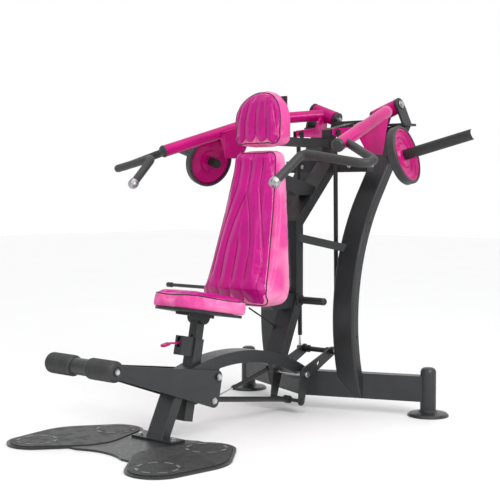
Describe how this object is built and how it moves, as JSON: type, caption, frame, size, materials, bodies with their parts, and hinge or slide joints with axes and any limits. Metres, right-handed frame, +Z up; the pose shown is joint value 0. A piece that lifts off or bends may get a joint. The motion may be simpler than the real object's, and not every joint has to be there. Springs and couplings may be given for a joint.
{
  "type": "shoulder press machine",
  "caption": "Plate-loaded shoulder press machine with seat, backrest, head pad, converging press arms and a leg-operated start assist.",
  "frame": {"origin": "on the floor, under the middle of the machine's bounding box", "axes": "+Z up; the seated user faces -Y; the user's left hand is on +X"},
  "size_m": [1.9006, 2.0401, 1.5738],
  "materials": {
    "frame_paint": "satin metallic",
    "arm_paint": "gloss metallic",
    "vinyl": "stitched and channelled",
    "board": "matt",
    "black_rubber": "matt",
    "mat_rubber": "matt with printed dashes",
    "horn_steel": "turned",
    "zinc": "zinc plated",
    "rod_chrome": "polished",
    "alu": "satin",
    "cap_plastic": "matt"
  },
  "bodies": {
    "frame": {"foot_plate": "frame_paint", "foot_mats": "mat_rubber", "front_post": "frame_paint", "spine_beam": "frame_paint", "seat_sleeve": "frame_paint", "back_column": "frame_paint", "base_bar_left": "frame_paint", "base_bar_right": "frame_paint", "rear_foot_left": "frame_paint", "rear_foot_right": "frame_paint", "upright_left": "frame_paint", "upright_right": "frame_paint", "cross_bars": "frame_paint", "top_bridge": "frame_paint", "yoke": "frame_paint", "pivot_plate_left": "frame_paint", "pivot_plate_right": "frame_paint", "pivot_shaft_left": "zinc", "pivot_shaft_right": "zinc", "storage_peg": "frame_paint", "rack_bar": "frame_paint", "back_bracket": "frame_paint", "head_bracket": "frame_paint", "back_board": "board", "back_pad": "vinyl", "head_pad": "vinyl", "stay_rod": "frame_paint", "crank_shaft": "zinc", "lever_shaft": "frame_paint", "frame_bolts": "zinc"},
    "seat": {"seat_post": "frame_paint", "seat_board": "board", "seat_pad": "vinyl"},
    "latch": {"latch_lever": "arm_paint"},
    "pedal": {"foot_lever": "frame_paint", "roller_axle": "zinc"},
    "roller_left": {"roller_left": "black_rubber"},
    "roller_right": {"roller_right": "black_rubber"},
    "crank": {"bell_crank": "frame_paint"},
    "push_rod": {"push_rod": "frame_paint"},
    "damper_cylinder": {"damper_cylinder": "board"},
    "damper_rod": {"damper_rod": "rod_chrome"},
    "arm_left": {"arm_left": "arm_paint", "stop_left": "arm_paint", "tyre_left": "black_rubber", "horn_left": "horn_steel", "handle_left": "black_rubber", "handle_cap_left": "alu", "arm_cap_left": "cap_plastic"},
    "lift_tube_left": {"lift_tube_left": "board"},
    "lift_rod_left": {"lift_rod_left": "rod_chrome"},
    "arm_right": {"arm_right": "arm_paint", "stop_right": "arm_paint", "tyre_right": "black_rubber", "horn_right": "horn_steel", "handle_right": "black_rubber", "handle_cap_right": "alu", "arm_cap_right": "cap_plastic"},
    "lift_tube_right": {"lift_tube_right": "board"},
    "lift_rod_right": {"lift_rod_right": "rod_chrome"}
  },
  "joints": [
    {"name": "press_left", "type": "hinge", "parent": "frame", "child": "arm_left", "pos_m": [0.2, 0.938, 1.508], "axis": [-0.9397, 0, -0.342], "range_deg": [0, 30]},
    {"name": "strut_left", "type": "hinge", "parent": "arm_left", "child": "lift_tube_left", "pos_m": [0.118, 0.601, 1.39], "axis": [-0.9412, 0.093, -0.3248], "range_deg": [-34, 4]},
    {"name": "stroke_left", "type": "slide", "parent": "lift_tube_left", "child": "lift_rod_left", "axis": [0, 0.0145, -0.9999], "range_m": [-0.005, 0.18]},
    {"name": "press_right", "type": "hinge", "parent": "frame", "child": "arm_right", "pos_m": [-0.2, 0.938, 1.508], "axis": [-0.9397, 0, 0.342], "range_deg": [0, 30]},
    {"name": "strut_right", "type": "hinge", "parent": "arm_right", "child": "lift_tube_right", "pos_m": [-0.118, 0.601, 1.39], "axis": [-0.9412, -0.093, 0.3248], "range_deg": [-34, 4]},
    {"name": "stroke_right", "type": "slide", "parent": "lift_tube_right", "child": "lift_rod_right", "axis": [0, 0.0145, -0.9999], "range_m": [-0.005, 0.18]},
    {"name": "pedal_hinge", "type": "hinge", "parent": "frame", "child": "pedal", "pos_m": [0, -0.205, 0.252], "axis": [1, 0, 0], "range_deg": [0, 18], "stiffness_Nm_per_rad": 70, "springref_deg": -68.75},
    {"name": "roller_left_spin", "type": "hinge", "parent": "pedal", "child": "roller_left", "pos_m": [0.126, -0.943, 0.378], "axis": [1, 0, 0], "continuous": true},
    {"name": "roller_right_spin", "type": "hinge", "parent": "pedal", "child": "roller_right", "pos_m": [-0.126, -0.943, 0.378], "axis": [1, 0, 0], "continuous": true},
    {"name": "crank_hinge", "type": "hinge", "parent": "frame", "child": "crank", "pos_m": [0, 0.395, 0.192], "axis": [1, 0, 0], "range_deg": [-1, 16]},
    {"name": "push_rod_hinge", "type": "hinge", "parent": "pedal", "child": "push_rod", "pos_m": [0, -0.229, 0.145], "axis": [1, 0, 0], "range_deg": [-19, 1]},
    {"name": "damper_hinge", "type": "hinge", "parent": "frame", "child": "damper_cylinder", "pos_m": [0.034, 0.183, 0.24], "axis": [1, 0, 0], "range_deg": [-1, 3]},
    {"name": "damper_stroke", "type": "slide", "parent": "damper_cylinder", "child": "damper_rod", "axis": [0, -0.9744, -0.2247], "range_m": [-0.04, 0.005]},
    {"name": "seat_height", "type": "slide", "parent": "frame", "child": "seat", "axis": [0, 0.2079, 0.9781], "range_m": [-0.038, 0.114]},
    {"name": "latch_hinge", "type": "hinge", "parent": "frame", "child": "latch", "pos_m": [0, -0.3824, 0.42052], "axis": [-1, 0, 0], "range_deg": [0, 12], "stiffness_Nm_per_rad": 0.8, "springref_deg": -20.05}
  ],
  "couplings": [
    {"joint": "strut_left", "follows": "press_left", "ratio": -1.0088},
    {"joint": "stroke_left", "follows": "press_left", "m_per_rad": 0.32479},
    {"joint": "strut_right", "follows": "press_right", "ratio": -1.0088},
    {"joint": "stroke_right", "follows": "press_right", "m_per_rad": 0.32479},
    {"joint": "crank_hinge", "follows": "pedal_hinge", "ratio": 0.825},
    {"joint": "push_rod_hinge", "follows": "pedal_hinge", "ratio": -1.001},
    {"joint": "damper_hinge", "follows": "pedal_hinge", "ratio": 0.086},
    {"joint": "damper_stroke", "follows": "pedal_hinge", "m_per_rad": -0.1034}
  ]
}
